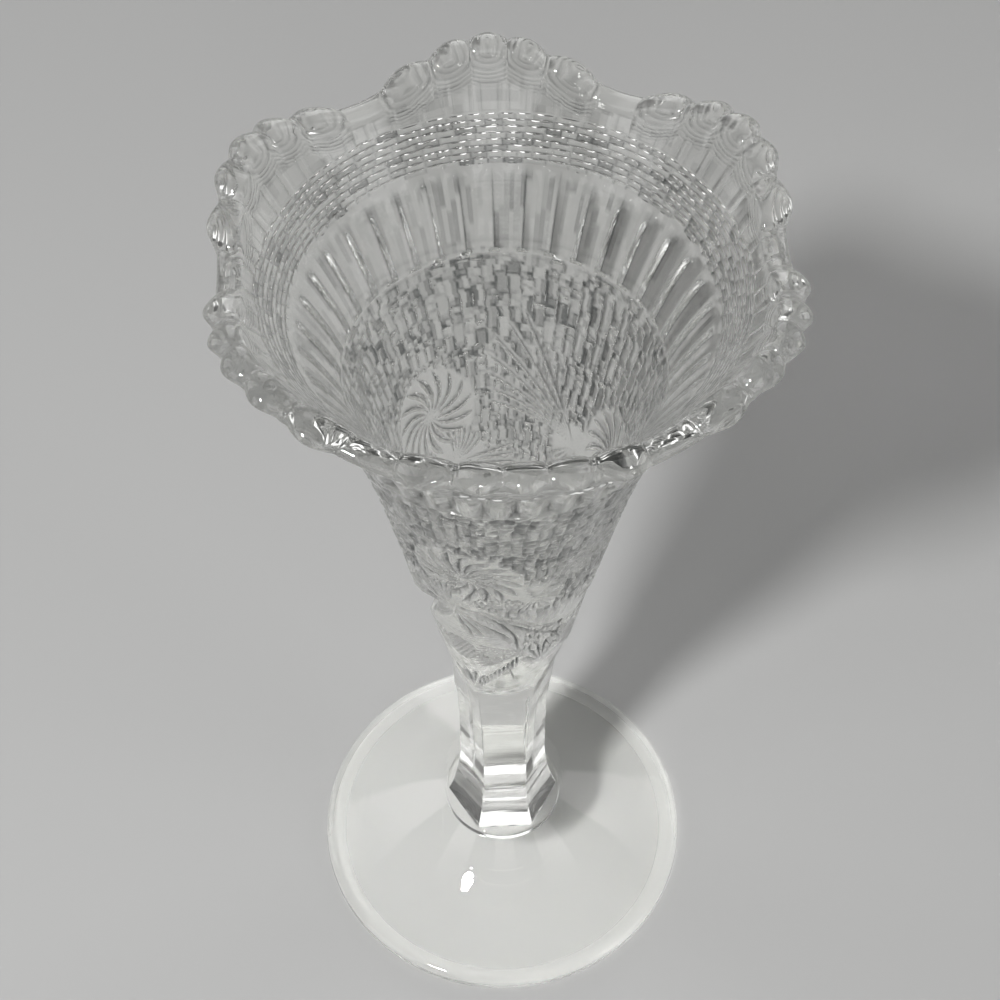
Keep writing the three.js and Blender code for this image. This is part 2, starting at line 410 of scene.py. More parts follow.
def make_collar():
    azimuth = np.arange(COLLAR_COLUMNS) * TURN / COLLAR_COLUMNS
    round_ = COLLAR_EDGE_ROUND
    patch = STEM_BASE_RADIUS * hexagon_share(azimuth)
    share = np.linspace(0, 1, COLLAR_RINGS + 1)[1:, None]
    below = SEAT_RADIUS * share * np.ones(COLLAR_COLUMNS)
    edge = np.vstack([
        half_circle((SEAT_RADIUS, FOOT_TOP + round_), round_, round_, -90, 0, 9)[1:],
        half_circle((SEAT_RADIUS, COLLAR_TOP - round_), round_, round_, 0, 90, 9)])
    around = edge[:, :1] * np.ones(COLLAR_COLUMNS)
    flat_top = SEAT_RADIUS + (patch - SEAT_RADIUS) * share
    under_stem = patch * share[::-1][1:]
    radius = np.vstack([below, around, flat_top, under_stem])
    ring_heights = np.concatenate([np.full(COLLAR_RINGS, FOOT_TOP), edge[:, 1],
                                   np.full(2 * COLLAR_RINGS - 1, COLLAR_TOP)])
    height = ring_heights[:, None] * np.ones(COLLAR_COLUMNS)
    rows = len(radius)
    joints = [-1, *range(COLLAR_RINGS - 1), *range(rows - COLLAR_RINGS, rows)]
    return glass_body("collar_glass", azimuth, radius, height, joints, poles=(FOOT_TOP, COLLAR_TOP))


finish_piece(make_collar(), "collar")

# %% [markdown]
# ## The stem
#
# The stem leaves the collar at a low angle, flares in to a waist and then widens slowly into the
# bowl. The outline of its corners is carried round the six-sided section.

# %% Make the stem
STEM_LENGTH = BOWL_JOINT - COLLAR_TOP
STEM_WAIST_RADIUS = 8.5 * MM
STEM_TOP_RADIUS = 9.0 * MM
STEM_FLARE_HEIGHT = 17.0 * MM
BOWL_LOWER_SLOPE = 0.17
STEM_COLUMNS = 360
CAP_RINGS = 4


def stem_outline():
    rise = (STEM_LENGTH - STEM_FLARE_HEIGHT) / 3
    middle = (STEM_BASE_RADIUS + STEM_WAIST_RADIUS) / 2
    flare = bezier([(STEM_BASE_RADIUS, 0), (middle, STEM_FLARE_HEIGHT / 6),
                    (STEM_WAIST_RADIUS, STEM_FLARE_HEIGHT * 2 / 3),
                    (STEM_WAIST_RADIUS, STEM_FLARE_HEIGHT)], count=60)
    upper = bezier([(STEM_WAIST_RADIUS, STEM_FLARE_HEIGHT),
                    (STEM_WAIST_RADIUS, STEM_FLARE_HEIGHT + rise),
                    (STEM_TOP_RADIUS - rise * BOWL_LOWER_SLOPE / 2, STEM_LENGTH - rise),
                    (STEM_TOP_RADIUS, STEM_LENGTH)], count=40)
    return np.vstack([flare, upper[1:]])


def make_stem():
    azimuth = np.arange(STEM_COLUMNS) * TURN / STEM_COLUMNS
    outline = stem_outline()
    share = np.linspace(0, 1, CAP_RINGS + 1)[1:-1, None]
    corners = np.concatenate([STEM_BASE_RADIUS * share[:, 0], outline[:, 0],
                              STEM_TOP_RADIUS * share[::-1, 0]])
    heights = np.concatenate([np.zeros(len(share)), outline[:, 1],
                              np.full(len(share), STEM_LENGTH)])
    radius = corners[:, None] * hexagon_share(azimuth)
    height = COLLAR_TOP + heights[:, None] * np.ones(STEM_COLUMNS)
    rows = len(radius)
    joints = [-1, *range(len(share)), *range(rows - 1 - len(share), rows)]
    return glass_body("stem_glass", azimuth, radius, height, joints, poles=(COLLAR_TOP, BOWL_JOINT))


finish_piece(make_stem(), "stem")

# %% [markdown]
# ## The bowl's plain form
#
# Under all its ornament the bowl is a trumpet turned about the axis. One cubic curve gives the
# outside, and the wall's thickness, measured square to it, gives the inside. A table of the curve
# lets any height be looked up at once.

# %% Draw the trumpet
WALL = 3.3 * MM
BEAD_RISE = 0.8 * MM
BEAD_DEPTH = 7.0 * MM
MIDDLE_BEAD = 1.1 * MM
BOWL_RIM_SLOPE = 0.72
FLUTE_TOP = 160.4 * MM
BRICK_HEIGHT = 0.82 * MM
BRICK_ROWS = 8
BRICK_TOP = FLUTE_TOP + BRICK_ROWS * BRICK_HEIGHT
BOWL_LOWER_REACH = 86.0 * MM
BOWL_RIM_REACH = 28.0 * MM
WELL_FLOOR = 8.0 * MM
WELL_ROUND = 7.0 * MM
BEAD_BULGE = 1.04 * MM
LOBE_RADIUS = RIM_RADIUS - MIDDLE_BEAD
EDGE = RIM_TOP - BEAD_RISE - WALL / 2
TABLE_POINTS = 4001

outline = bezier([
    (STEM_TOP_RADIUS, BOWL_JOINT),
    (STEM_TOP_RADIUS + BOWL_LOWER_SLOPE * BOWL_LOWER_REACH, BOWL_JOINT + BOWL_LOWER_REACH),
    (LOBE_RADIUS - BOWL_RIM_SLOPE * BOWL_RIM_REACH, EDGE - BOWL_RIM_REACH),
    (LOBE_RADIUS, EDGE)], TABLE_POINTS)


def outer_radius(height):
    """The curve's radius at a height, and a straight run at the rim's slope above its end."""
    above = np.clip(height - EDGE, 0, None)
    return np.interp(height, outline[:, 1], outline[:, 0]) + above * BOWL_RIM_SLOPE


def outer_slope(height):
    """Outward run for each metre of rise, from two lookups half a millimetre either side."""
    return (outer_radius(height + 0.5 * MM) - outer_radius(height - 0.5 * MM)) / MM


def inner_radius(height):
    """The outer radius less the wall, which leans, so its level thickness is the wall times the
    square root of 1 plus the slope squared."""
    return outer_radius(height) - WALL * np.hypot(1, outer_slope(height))


print(f"the mouth is {2000 * inner_radius(EDGE):.1f} mm across inside")

# %% [markdown]
# ## Lobes, beads and the six-sided root
#
# The rim swings out and up into six lobes. Each lobe carries five beads: round drops on the
# outside that run up over the crest. Between lobes the edge is plain. At the other end the trumpet
# takes on the stem's six sides.

# %% Bend the trumpet into lobes and beads
LOBES = 6
LOBE_SPAN = TURN / LOBES
LOBE_START = math.pi / 2
LOBE_DEPTH = 4.2 * MM
LOBE_INSET = 2.8 * MM
LOBE_SHOULDER = 28.0 * MM
BEAD_ANGLES = np.radians([-18.9, -8.2, 0.0, 8.2, 18.9])
BEAD_HALF_WIDTHS = np.radians([5.4, 4.1, 4.1, 4.1, 5.4])
BEAD_BULGES = np.array([1.3, 1.0, 1.0, 1.0, 1.3]) * BEAD_BULGE
BEAD_CENTRE_DROP = 1.5 * MM
BEAD_LENGTH = 1.8 * MM
BEAD_RING_DEPTH = 0.15 * MM
BEAD_RING_STEP = 0.27
BEAD_RINGS_END = 2.3
BEAD_RINGS_FADE = 0.8
BEAD_RINGS_WIDTH = 1.25
BEAD_SOFTNESS = 1.5
CREST_CLEARANCE = 0.5 * MM
SIDES_KEPT = 6.0 * MM
SIDES_FADE = 14.0 * MM


def saddle(azimuth):
    """0 in the middle of a lobe and 1 between two: half of 1 less the cosine of six turns."""
    return (1 - np.cos(LOBES * (azimuth - LOBE_START))) / 2


def bead_distance(azimuth, height):
    """Distances across and down from the nearest bead's centre in bead radii, and its number."""
    from_lobe = (azimuth - LOBE_START + LOBE_SPAN / 2) % LOBE_SPAN - LOBE_SPAN / 2
    across = (from_lobe[..., None] - BEAD_ANGLES) / BEAD_HALF_WIDTHS
    down = (EDGE - BEAD_CENTRE_DROP - height)[..., None] / BEAD_LENGTH
    across, down = np.broadcast_arrays(across, down)
    number = np.hypot(across, np.clip(down, 0, None)).argmin(axis=-1)
    pick = number[..., None]
    return (np.take_along_axis(across, pick, -1)[..., 0],
            np.take_along_axis(down, pick, -1)[..., 0], number)


def bead_form(azimuth, height):
    """How far the beads stand out, their rings, and how high they lift the crest. A bead is a
    dome, 1 less the distance squared, to a power that lets it leave the wall softly, and it runs
    straight up to the crest. Shallow rings, a cosine of the distance, circle its centre and hang
    below it like swags."""
    across, down, number = bead_distance(azimuth, height)
    dome = np.clip(1 - across**2 - np.clip(down, 0, None) ** 2, 0, None)
    distance = np.hypot(across, down)
    rings = (np.cos(distance * TURN / BEAD_RING_STEP) - 1) / 2
    reach = smooth((BEAD_RINGS_END - distance) / BEAD_RINGS_FADE)
    reach = reach * smooth((EDGE - height) / CREST_CLEARANCE)
    beside_dome = smooth((BEAD_RINGS_WIDTH - np.abs(across)) / (BEAD_RINGS_WIDTH - 1))
    bulge = dome**BEAD_SOFTNESS * BEAD_BULGES[number]
    return bulge, BEAD_RING_DEPTH * rings * reach * beside_dome, np.sqrt(dome)


def shaped(azimuth, radius, height, outside):
    """Carries points of the round trumpet to the lobed, beaded, six-sided one. outside is 1 on
    the outer wall and 0 on the inner one."""
    near_rim = np.clip(1 - (EDGE - height) / LOBE_SHOULDER, 0, None)
    lobe = saddle(azimuth) * near_rim
    on_beads = smooth(1 - (EDGE - height) / BEAD_DEPTH)
    bulge, rings, crown = bead_form(azimuth, height)
    fade = smooth(1 - (height - BOWL_JOINT - SIDES_KEPT) / SIDES_FADE)
    share = 1 - fade * outside * (1 - hexagon_share(azimuth))
    reach = (radius - LOBE_INSET * lobe) * share + bulge * outside
    return reach + rings * outside, height - LOBE_DEPTH * lobe + crown * BEAD_RISE * on_beads


# %% [markdown]
# ## Cuts in the mould
#
# The ornament imitates cut glass. Its elements are simple: a mitre is a V-shaped valley, a fan is
# a spray of mitres from one point, a star is a fan all the way round, and a block pattern is two
# sets of mitres that leave little pyramids. Each is a depth worked out for every point of the grid
# at once. Where two cuts meet, the deeper one wins.

# %% Define the cuts
REPEATS = 3
PANEL = 360 / REPEATS
FIRST_TIP = -120.0
CUT_SLOPE = 0.95
RAY_FADE = 14.0
RAY_TAPER = 0.3
OUTER_RAY_SPARE = 0.2
COURSE_POINTS = 60


def panel_angle(azimuth, centre):
    """Degrees from the nearest copy of a direction given in degrees from a panel's tip."""
    turn = np.degrees(azimuth) - FIRST_TIP - centre
    return (turn + PANEL / 2) % PANEL - PANEL / 2


def beside(azimuth, height, place):
    """Distances across and up along the wall from the nearest copy of a place, which is given as
    degrees from the panel's tip and millimetres above the table."""
    across = outer_radius(height) * np.radians(panel_angle(azimuth, place[0]))
    return across, (height - place[1] * MM) * np.hypot(1, outer_slope(height))


def valley(distance, depth):
    """A mitre: deepest where the distance is 0, and rising to nothing at one slope."""
    return -np.clip(depth - CUT_SLOPE * np.abs(distance), 0, None)


def spray(azimuth, height, place, heading, spread, rays, reach, depth, twist=0.0, start=0.0):
    """Mitres that spray from a place. The angle round it, less its heading, is cut into equal
    parts, and each part is a valley with its bottom in the middle. Cuts narrow to nothing at the
    place and fade at their reach. A twist, in degrees for each millimetre out, bends them."""
    across, up = beside(azimuth, height, place)
    far = np.hypot(across, up)
    angle = np.degrees(np.arctan2(up, across)) - heading + twist * far / MM
    angle = (angle + 180) % 360 - 180
    part = spread / rays
    offset = np.abs((angle / part + rays / 2) % 1 - 0.5) * 2
    half_width = far * math.radians(part) / 2
    bottom = np.minimum(depth, half_width * CUT_SLOPE)
    bottom = bottom * smooth((reach - far) / (reach * RAY_TAPER)) * (far > start)
    bottom = bottom * smooth((PANEL / 2 - np.abs(panel_angle(azimuth, place[0]))) / RAY_FADE)
    inside = np.clip((spread / 2 - np.abs(angle)) / (part / 6) + OUTER_RAY_SPARE, 0, 1)
    return -np.clip(bottom - CUT_SLOPE * offset * half_width, 0, None) * inside


def course(azimuth, height, places, depth, taper=0.12):
    """A mitre through places given as degrees from the tip and millimetres of height. It is
    deepest in the middle, and over the taper's share of its length it starts from nothing."""
    turns, heights = np.array(places).T
    heights = heights * MM
    turn = panel_angle(azimuth, (turns[0] + turns[-1]) / 2) + (turns[0] + turns[-1]) / 2
    middle = np.interp(turn, turns, heights)
    points = np.linspace(turns[0], turns[-1], COURSE_POINTS)
    step = math.radians((turns[-1] - turns[0]) / (COURSE_POINTS - 1))
    steep = np.gradient(np.interp(points, turns, heights))
    lean = np.interp(turn, points, steep / (outer_radius(middle.mean()) * step))
    along = (turn - turns[0]) / (turns[-1] - turns[0])
    inside = smooth(along / taper) * smooth((1 - along) / taper)
    return valley((height - middle) / np.hypot(1, lean), depth) * inside


def knobs(azimuth, height, place, half_width, half_height, pitch, depth):
    """A patch of round knobs inside an oval: the square root of 1 less the distance from each
    knob's centre squared, in rows that are shifted by half a knob."""
    across, up = beside(azimuth, height, place)
    row = np.round(up / pitch)
    column = across / pitch - 0.5 * (row % 2)
    near = np.hypot(column - np.round(column), up / pitch - row) * 2
    inside = np.hypot(across / half_width, up / half_height) < 1
    return np.where(inside, depth * (np.sqrt(np.clip(1 - near**2, 0, None)) - 1), 0)


# %% [markdown]
# ## Staves and blocks
#
# Between the flutes and the motifs the wall is set with upright staves, cut across at uneven
# heights into small blocks, so that each catches the light on its own. Tables of seeded random
# numbers give every block its own lean, every half block its own painted shade, lighter or darker,
# and every course a small shift round the bowl. The painted shade stands in for the light and dark
# that each facet would bend in from a darker room.

# %% Set out the blocks
STAVES = 72
BLOCK_DEPTH = 0.4 * MM
BLOCK_LEAN = 0.3
CROSS_SHARE = 0.6
BLOCK_SHADE = 0.95
COURSE_SHIFT = 0.25
BLOCK_TALL = 2.0 * MM
BLOCK_ROWS = 40
BLOCK_WANDER = 0.5
WANDER_RATE = 1.6
TOP_DROP = 0.1 * MM
TOP_FADE = 0.25
PAINTED_BLOCK_SHADE_POWER = 1.5
SEAM = 147.5 * MM
BLOCKS_START = 101 * MM
stave_shift = np.random.default_rng(4).uniform(0, 1, STAVES)
block_own = np.random.default_rng(5).uniform(-1, 1, (BLOCK_ROWS, STAVES, 3))
# Painted shade for each half block, at random from light to dark.
painted_block_shades = np.random.default_rng(8).uniform(0, 1, (BLOCK_ROWS, 2 * STAVES))
course_shift = np.random.default_rng(9).uniform(-1, 1, BLOCK_ROWS) * COURSE_SHIFT


def blocks(azimuth, height):
    """Little pyramids with leaning tops. Their sides rise at one slope from the nearest mitre, and
    each course is shifted a little round from the next. The top course comes out flush at the seam.
    Returns their depth, and a painted shade that is each half block's own, lighter or darker as if
    the block caught the light on its own."""
    rise = (SEAM - height) / BLOCK_TALL
    turn = azimuth * STAVES / TURN + course_shift[np.clip(rise, 0, BLOCK_ROWS - 1).astype(int)]
    stave = np.floor(turn).astype(int) % STAVES
    pitch = TURN / STAVES * outer_radius(height)
    across = (turn % 1 - 0.5) * pitch
    level = rise + BLOCK_WANDER * np.sin(rise * WANDER_RATE + stave_shift[stave] * TURN)
    row = np.clip(np.floor(level), 0, BLOCK_ROWS - 1).astype(int)
    up = (0.5 - (level - row)) * BLOCK_TALL
    beside_cross = (BLOCK_TALL / 2 - np.abs(up)) * (rise > TOP_FADE / 2)
    edge = np.minimum(pitch / 2 - np.abs(across),
                      beside_cross + (1 - CROSS_SHARE) * BLOCK_DEPTH / CUT_SLOPE)
    own = block_own[row, stave]
    top = BLOCK_LEAN * (own[..., 0] * across + own[..., 1] * up) - TOP_DROP * (1 + own[..., 2])
    depth = np.minimum(np.minimum(CUT_SLOPE * edge - BLOCK_DEPTH, top), 0)
    half = np.floor(2 * turn).astype(int) % (2 * STAVES)
    painted_shade = BLOCK_SHADE * painted_block_shades[row, half] ** PAINTED_BLOCK_SHADE_POWER * (rise > 0)
    return depth * smooth(rise / TOP_FADE), painted_shade


# %% [markdown]
# ## Ornament of the lower bowl
#
# Three panels circle the bowl. Between their hubs hangs a swag: the wall is hollowed along it, and
# a lip stands out below. Below each hub is a lozenge with fans in its corners, knobs in its middle
# and teeth on its lower edge. Above are a whirling star and a long fan. The places were measured
# from the front panel, as degrees from its tip and millimetres above the table.

# %% Lay out the lower bowl
HUB = (0, 108.6)
STAR = (9, 120.9)
FAN = (42, 114.4)
CORNER = (40, 90.4)
TIP = (0, 74.0)
SWAG = [(0, 108.6), (14, 107.3), (27, 102.0), (47, 95.4), (60, 93.6), (75, 93.4), (90, 97.0),
        (103, 103.6), (112, 107.0), (120, 108.6)]
HOLLOW_DEPTH = 2.7 * MM
HOLLOW_TALL = 7.0 * MM
HOLLOW_END = 1.5 * MM
HOLLOW_SWELL = 48
HOLLOW_SHRINK = 38
LIP_INSET = 0.95 * MM
LIP_FOOT = 60 * MM
LIP_TALL = 20 * MM
SHORT_FALL = 3.4 * MM
LONG_FALL = 12.4 * MM
LONG_UNTIL = 60
SHORT_FROM = 77
LEDGE = 0.5 * MM
LOWER_EDGE = [(0, 73.7), (15, 79.4), (31, 84.4), (36, 79.0), (38, 76.9), (57, 80.3), (77, 82.1),
              (92, 80.4), (106, 77.0), (120, 73.7)]
ROOT_STEP = 0.6 * MM
ROOT_RISE = 9 * MM
TOOTH_PITCH = 3.4
TOOTH_GAP = 0.2
TOOTH_SIDE = 0.5
BLOCKS_FADE = 10 * MM
MOTIF_EDGE = 1.2
MOTIF_LIP = 0.3 * MM


def along_panel(azimuth, places):
    """Degrees onwards from a panel's tip, and the height there of a line through places."""
    turn = panel_angle(azimuth, PANEL / 2) + PANEL / 2
    turns, heights = np.array(places).T
    return turn, np.interp(turn, turns, heights) * MM


def swag_hollow(azimuth, height):
    """The hollow over the swag. It is deepest along the swag, meets the wall above it, and rises
    below it to a lip that is set in and dies away towards the stem. The rise is long near the
    first hub and short near the next. Along the swag it all swells and shrinks again."""
    turn, swag = along_panel(azimuth, SWAG)
    above = height - swag
    deep = smooth(turn / HOLLOW_SWELL) * smooth((PANEL - turn) / HOLLOW_SHRINK)
    tall = HOLLOW_END + (HOLLOW_TALL - HOLLOW_END) * deep
    long_share = smooth((SHORT_FROM - turn) / (SHORT_FROM - LONG_UNTIL))
    fall = SHORT_FALL + (LONG_FALL - SHORT_FALL) * long_share
    lip = LIP_INSET * np.clip((height - LIP_FOOT) / LIP_TALL, 0, 1)
    below = HOLLOW_DEPTH + (lip - HOLLOW_DEPTH) * smooth(-above / fall)
    return -deep * np.where(above > 0, HOLLOW_DEPTH * np.clip(1 - above / tall, 0, 1), below)


def root_step(azimuth, height):
    """Below the ornament's lower edge the root steps in, and it comes out again to the stem."""
    below = along_panel(azimuth, LOWER_EDGE)[1] - height
    return -ROOT_STEP * smooth(below / LEDGE + 0.5) * smooth((height - BOWL_JOINT) / ROOT_RISE)


def lower_ornament(azimuth, height):
    """The deepest of all the cuts at each point of the lower bowl, and the blocks' painted shade.
    """
    a, h = np.broadcast_arrays(azimuth, height)
    clear = smooth((h - BLOCKS_START) / BLOCKS_FADE)
    for place, reach in ((STAR, 9.5), (FAN, 5.0), (HUB, 7.0)):
        away = np.hypot(*beside(a, h, place)) / MM - reach
        clear = clear * smooth(away / MOTIF_EDGE + 0.5)
    teeth = course(a, h, [(2, 74.8), (15.4, 79.4), (39, 87.0)], 1.2 * MM, 0.1)
    notches = np.abs((panel_angle(a, 20) / TOOTH_PITCH) % 1 - 0.5) * 2
    block_depth, block_shade = blocks(a, h)
    cuts = [
        spray(a, h, STAR, 0, 360, 16, 10 * MM, 0.8 * MM, twist=4.5),
        spray(a, h, HUB, 140, 70, 7, 9 * MM, 0.6 * MM, twist=3.0),
        spray(a, h, HUB, 222, 76, 8, 15 * MM, 0.7 * MM, twist=1.5),
        spray(a, h, HUB, 275, 30, 3, 12 * MM, 0.6 * MM, twist=-1.5),
        spray(a, h, FAN, 38, 48, 7, 34 * MM, 0.6 * MM),
        spray(a, h, FAN, 285, 90, 7, 7 * MM, 0.6 * MM),
        spray(a, h, CORNER, 183, 72, 9, 9.5 * MM, 0.7 * MM, start=1 * MM),
        spray(a, h, (-40, 90.4), 0, 72, 9, 8 * MM, 0.7 * MM, start=1 * MM),
        spray(a, h, CORNER, 40, 70, 6, 9 * MM, 0.6 * MM),
        spray(a, h, TIP, 90, 84, 6, 9 * MM, 0.75 * MM),
        spray(a, h, (50, 90.2), 0, 360, 7, 2.6 * MM, 0.8 * MM),
        spray(a, h, (60, 82.5), 90, 110, 6, 7 * MM, 0.6 * MM),
        knobs(a, h, (-3, 91.4), 2.9 * MM, 4.2 * MM, 0.95 * MM, 0.4 * MM),
        knobs(a, h, (24, 112.2), 4.2 * MM, 2.8 * MM, 1.1 * MM, 0.4 * MM),
        course(a, h, [(0, 108.6), (10.4, 106.6), (25, 100), (33, 95.2), (40, 90.4)], 0.9 * MM),
        course(a, h, [(3, 105.6), (13, 102.0), (25, 97.4), (33, 93.6), (40, 90.2)], 0.6 * MM),
        course(a, h, [(14, 106.9), (30, 99.4), (47, 93.6), (62, 90.4), (80, 88.6)], 0.7 * MM),
        course(a, h, [(36, 76.6), (47, 78.6), (57, 80.4), (68, 81.8), (80, 82.0)], 0.6 * MM),
        course(a, h, [(80, 82.0), (92, 80.4), (106, 77.0), (119, 73.9)], 0.6 * MM),
        teeth * smooth((notches - TOOTH_GAP) / TOOTH_SIDE),
        course(a, h, [(3, 73.0), (20, 71.4), (40, 71.2), (58, 72.0)], 0.3 * MM, 0.3),
    ]
    motifs = np.minimum.reduce(cuts)
    # The blocks' painted shade shows only away from the motifs.
    between = clear * smooth(1 + motifs / MOTIF_LIP)
    return np.minimum(motifs, block_depth * clear), block_shade * between


# %% [markdown]
# The lower bowl is one grid. It starts at a point in the middle of its joint with the stem, runs
# up the ornamented outside to a level seam, crosses the wall there, and goes down the smooth
# inside to the round end of the well. Rings are close together where the cuts are fine.

# %% Make the root of the bowl
LOWER_COLUMNS = 576
# How strongly painted shade darkens the narrow bottoms of the cuts.
HOLLOW_SHADE = 1.5
LEVEL_SPARE = 0.05 * MM
ORNAMENT_START = 67 * MM
WAIST = 100 * MM


def spans(*stops):
    """Heights from stop to stop, each stop given as a height and the step that leads up to it."""
    heights = [np.array([stops[0][0]])]
    for (low, _), (high, step) in zip(stops, stops[1:]):
        count = max(1, round((high - low) / step))
        heights.append(np.linspace(low, high, count + 1)[1:])
    return np.concatenate(heights)


def with_relief(height, depth):
    """Radius and height after moving the outer wall square to itself by a depth."""
    slope = outer_slope(height)
    square = np.hypot(1, slope)
    return outer_radius(height) + depth / square, height - depth * slope / square


def unbent(azimuth, levels):
    """The heights that the lobes will carry to the given levels. Bending lowers a height by k
    times its rise above the lobes' start, where k is the saddle's share of the lobes' depth over
    their length, so level = height - k (height - start), solved for the height. Above the bricks
    the rings spread evenly up to the lobed edge."""
    start = EDGE - LOBE_SHOULDER
    k = LOBE_DEPTH / LOBE_SHOULDER * saddle(azimuth)
    level = np.minimum(levels, BRICK_TOP)[:, None] * np.ones(len(azimuth))
    height = np.where(level > start, (level - k * start) / (1 - k), level)
    upper = np.clip((levels - BRICK_TOP) / (EDGE - BRICK_TOP), 0, 1)[:, None]
    return height + (EDGE - height) * upper


def hollowness(radius, height, reach):
    """How sharply the surface turns outwards on both sides of a point, from 0 to 1: the radius a
    few points to both sides less the radius between them, over the distance. It is worked out
    across and up, and picks out the narrow bottoms of the cuts, where painted shade darkens the
    glass."""
    count, rows = reach
    across = np.roll(radius, count, axis=1) + np.roll(radius, -count, axis=1) - 2 * radius
    across = across / (2 * radius * count * TURN / radius.shape[1])
    up = np.zeros_like(radius)
    middle = slice(rows, -rows)
    rise = np.abs(height[2 * rows:] - height[:-2 * rows]) + LEVEL_SPARE
    up[middle] = (radius[2 * rows:] + radius[:-2 * rows] - 2 * radius[middle]) / rise
    return np.clip(np.maximum(across, up), 0, 1)


def outer_wall(azimuth, levels, relief, reach):
    """The shaped and cut outside, ring by ring upwards, and its painted shade. reach is how many
    columns and rings away the painted shade looks for the sides of a cut."""
    heights = unbent(azimuth, levels)
    depth, painted_shade = relief(azimuth, levels[:, None] * np.ones(len(azimuth)))
    radius, height = shaped(azimuth, *with_relief(heights, depth), 1.0)
    # Painted shade in the narrow bottoms of the cuts, added to the facets' painted tones.
    painted_shade = painted_shade + HOLLOW_SHADE * hollowness(radius, height, reach)
    return radius, height, np.clip(painted_shade, 0, 1)


def inner_wall(azimuth, levels):
    """The shaped, smooth inside, ring by ring downwards."""
    heights = unbent(azimuth, levels[::-1])
    return shaped(azimuth, inner_radius(heights), heights, 0.0)


def lower_relief(azimuth, heights):
    cuts, painted_shade = lower_ornament(azimuth, heights)
    return cuts + swag_hollow(azimuth, heights) + root_step(azimuth, heights), painted_shade


def make_root():
    azimuth = np.arange(LOWER_COLUMNS) * TURN / LOWER_COLUMNS
    outer = spans((BOWL_JOINT, 0), (ORNAMENT_START, 1.2 * MM), (WAIST, 0.25 * MM))
    radius, height, cut_shade = outer_wall(azimuth, outer, lower_relief, (3, 2))
    height[0] = BOWL_JOINT
    well_top = BOWL_JOINT + WELL_FLOOR + WELL_ROUND
    inside, inside_height = inner_wall(azimuth, spans((well_top, 0), (WAIST, 3.0 * MM)))
    well = half_circle((0, well_top), inner_radius(well_top), WELL_ROUND, 0, -90,
                       count=8)[1:-1]
    share = np.linspace(0, 1, CAP_RINGS + 1)[1:-1, None]
    flat = np.ones(LOWER_COLUMNS)
    rings = np.vstack([radius[0] * share, radius, inside, well[:, :1] * flat])
    heights = np.vstack([np.full_like(share, BOWL_JOINT) * flat, height, inside_height,
                         well[:, 1:] * flat])
    # Painted shade lies on the outer wall only.
    painted_shade = np.zeros_like(rings)
    painted_shade[len(share):len(share) + len(outer)] = cut_shade
    joints = [-1, *range(len(share)), len(share) + len(outer) - 1]
    return glass_body("bowl_root", azimuth, rings, heights, joints,
                      poles=(BOWL_JOINT, BOWL_JOINT + WELL_FLOOR), painted_shade=painted_shade)


finish_piece(make_root(), "bowl")

# %% [markdown]
# From the waist up the wall is open at both ends, so each body is a hoop: up the outside, over the
# seam and down the inside. One function makes all three, and the last gets a crest on top.

# %% Make the wall above it


def make_hoop(name, columns, outer, inner, relief, reach, over=None):
    """A band of the wall, closed as a hoop. Its first and last rings are joints, unless over gives
    the rings of the crest."""
    azimuth = np.arange(columns) * TURN / columns
    radius, height, cut_shade = outer_wall(azimuth, outer, relief, reach)
    walls = [(radius, height), inner_wall(azimuth, inner)]
    if over:
        walls.insert(1, over(azimuth))
    rings, heights = [np.vstack(part) for part in zip(*walls)]
    joints = [len(rings) - 1] if over else [len(outer) - 1, len(rings) - 1]
    # Painted shade lies on the outer wall only.
    painted_shade = np.zeros_like(rings)
    painted_shade[:len(outer)] = cut_shade
    return glass_body(name, azimuth, rings, heights, joints, painted_shade=painted_shade)


wall = make_hoop("bowl_wall", LOWER_COLUMNS, spans((WAIST, 0), (SEAM, 0.3125 * MM)),
                 spans((WAIST, 0), (SEAM, 4.0 * MM)), lower_relief, (2, 2))
finish_piece(wall, "bowl")

# %% [markdown]
# ## Flutes, bricks and the rim
#
# Above the seam come upright flutes, then a band of small staggered bricks, then a smooth band
# with faint upright panels, and the beads. These are two more hoops, with more points round them
# than the lower bowl has, because their circumference is larger and they are seen from close by.
# Streaks in the flutes, the bricks, and patches in the smooth band get painted shade, lighter or
# darker at random, for the light and dark each would bend in from a darker room.

# %% Lay out the upper bowl
FLUTES = 36
FLUTE_DEPTH = 0.9 * MM
FLUTE_START = 0.8 * MM
FLUTE_END = 2.2 * MM
BRICKS_AROUND = 72
BRICK_DEPTH = 0.4 * MM
BRICK_SWAY = 0.35
BRICK_WAVES = 9
BRICK_SQUARENESS = 0.7
LOWEST_BRICK = 0.7
BRICK_RANGE = 0.5
BRICK_SHADE = 0.85
PANELS = 54
PANEL_DEPTH = 0.16 * MM
PANEL_TOP = 171.5 * MM
PANEL_SHADE = 0.35
PANEL_SHARE = 0.8
PANEL_SIDE = 0.2
PANEL_ENDS = (0.4 * MM, 0.6 * MM)
# Patches of painted shade in the smooth band, lighter or darker at random.
PATCH_ROWS = 3
painted_panel_shades = np.random.default_rng(10).uniform(0, 1, (PATCH_ROWS, PANELS * 2))
# Painted shade in streaks down the flutes, lighter or darker at random.
FLUTE_SHADE = 0.7
FLUTE_STREAKS = 6
STREAK_ROWS = 6
STREAK_TALL = 6.0 * MM
painted_streak_shades = np.random.default_rng(6).uniform(0, 1, (STREAK_ROWS, FLUTES * FLUTE_STREAKS))
# Seeded numbers for each brick: its sway, its height and its painted shade.
brick_own = np.random.default_rng(7).uniform(0, 1, (BRICK_ROWS, BRICKS_AROUND))


